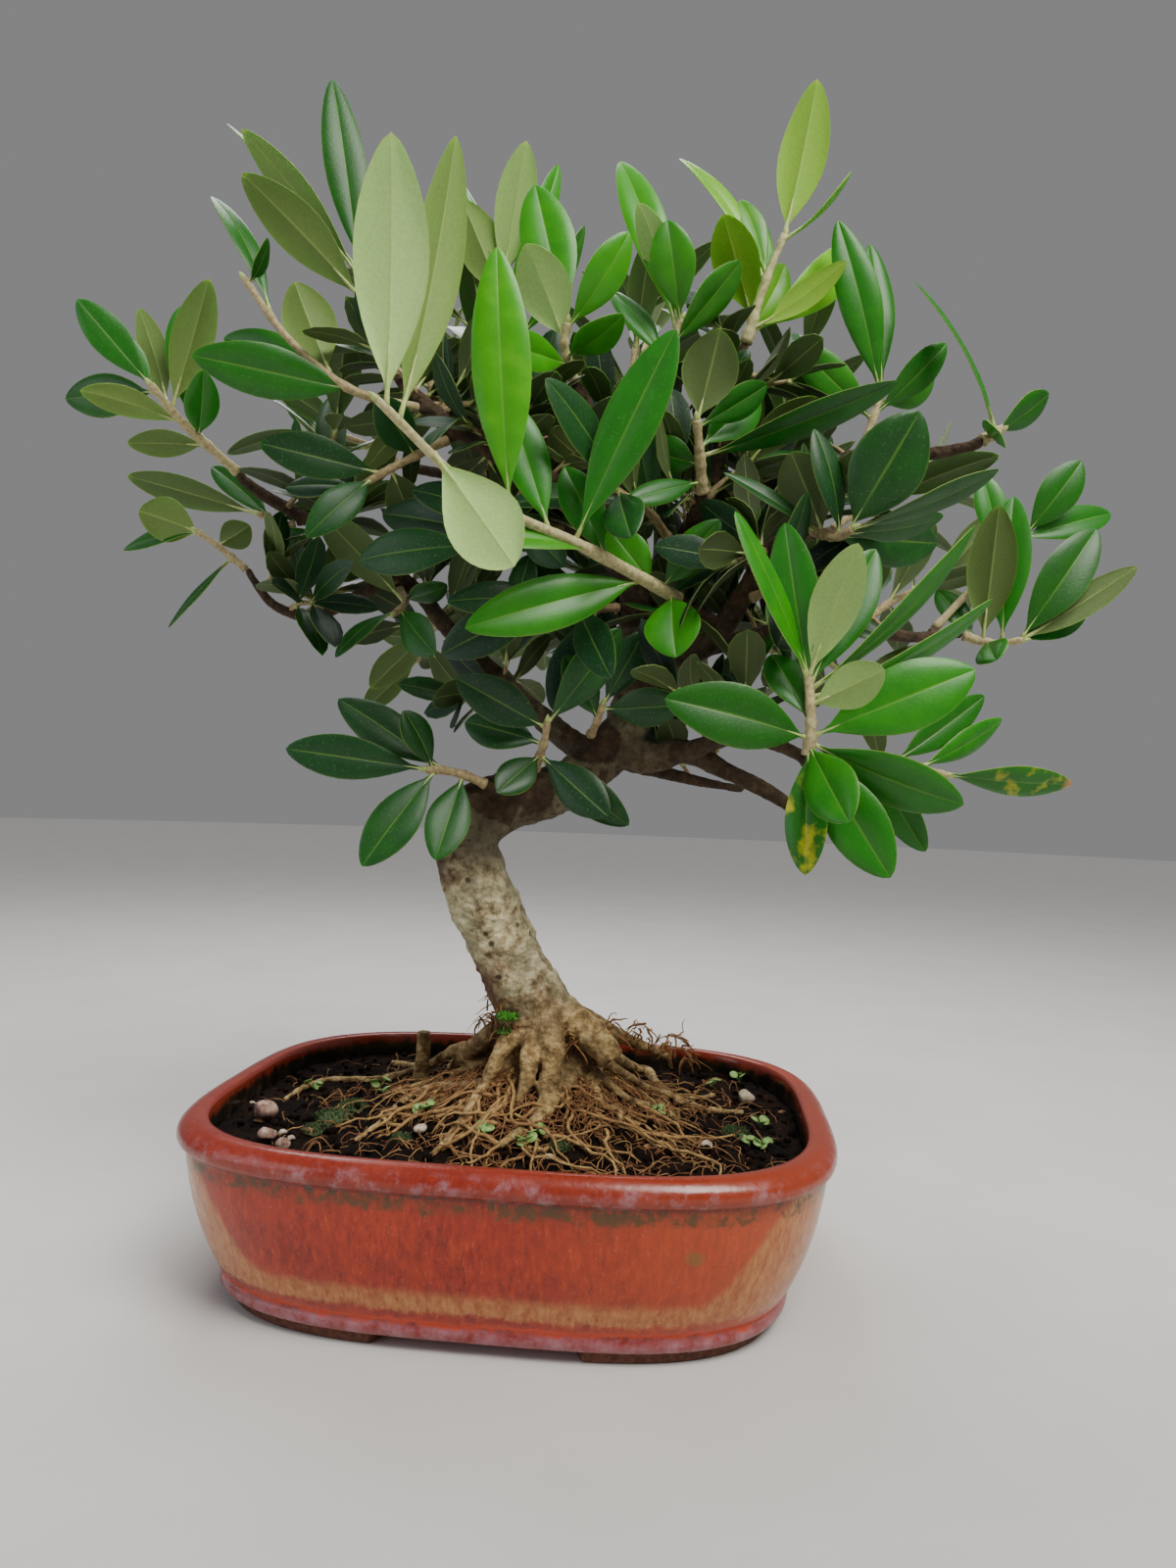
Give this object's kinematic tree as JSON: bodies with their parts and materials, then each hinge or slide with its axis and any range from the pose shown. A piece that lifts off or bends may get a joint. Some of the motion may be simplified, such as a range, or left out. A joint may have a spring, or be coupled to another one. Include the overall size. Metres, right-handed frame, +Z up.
{
  "type": "bonsai tree",
  "caption": "Small olive bonsai with a bent trunk, spreading leafy crown and exposed surface roots, growing in a low rounded-rectangle glazed pot on corner feet.",
  "frame": {"origin": "middle of the whole object's footprint box, on the plane the pot's feet stand on", "axes": "+Z up, +X along the pot's long side to the right as seen from the front, +Y from the front to the back"},
  "size_m": [0.3832, 0.2496, 0.4026],
  "materials": {
    "glaze": "gloss",
    "soil": "matte",
    "bark": "matte",
    "leaf": "satin",
    "pebble": "matte"
  },
  "bodies": {
    "root": {"pebble_1": "pebble", "pebble_2": "pebble", "pebble_3": "pebble", "pebble_4": "pebble", "pebble_5": "pebble", "pot": "glaze", "shoot_crown_front": "leaf", "shoot_crown_left": "leaf", "shoot_crown_mid": "leaf", "shoot_cut_right": "leaf", "shoot_dull_leaf": "leaf", "shoot_filler_01": "leaf", "shoot_filler_02": "leaf", "shoot_filler_03": "leaf", "shoot_filler_04": "leaf", "shoot_filler_05": "leaf", "shoot_filler_06": "leaf", "shoot_filler_07": "leaf", "shoot_filler_08": "leaf", "shoot_filler_09": "leaf", "shoot_filler_10": "leaf", "shoot_filler_11": "leaf", "shoot_filler_12": "leaf", "shoot_filler_13": "leaf", "shoot_filler_14": "leaf", "shoot_filler_15": "leaf", "shoot_filler_16": "leaf", "shoot_filler_17": "leaf", "shoot_filler_18": "leaf", "shoot_filler_19": "leaf", "shoot_filler_20": "leaf", "shoot_hanging_dark": "leaf", "shoot_left_crown": "leaf", "shoot_left_hanging": "leaf", "shoot_left_mid": "leaf", "shoot_left_tip": "leaf", "shoot_left_twig": "leaf", "shoot_left_under": "leaf", "shoot_low_left_tip": "leaf", "shoot_low_shoot": "leaf", "shoot_right_spears": "leaf", "shoot_right_tip": "leaf", "shoot_right_upper": "leaf", "shoot_rosette": "leaf", "shoot_rosette_side": "leaf", "shoot_tall_tip": "leaf", "shoot_trunk_shoot": "leaf", "shoot_trunk_shoot_right": "leaf", "shoot_twig_folded": "leaf", "shoot_under_whip": "leaf", "shoot_whip": "leaf", "soil": "soil", "trunk_and_roots": "bark"}
  },
  "joints": []
}
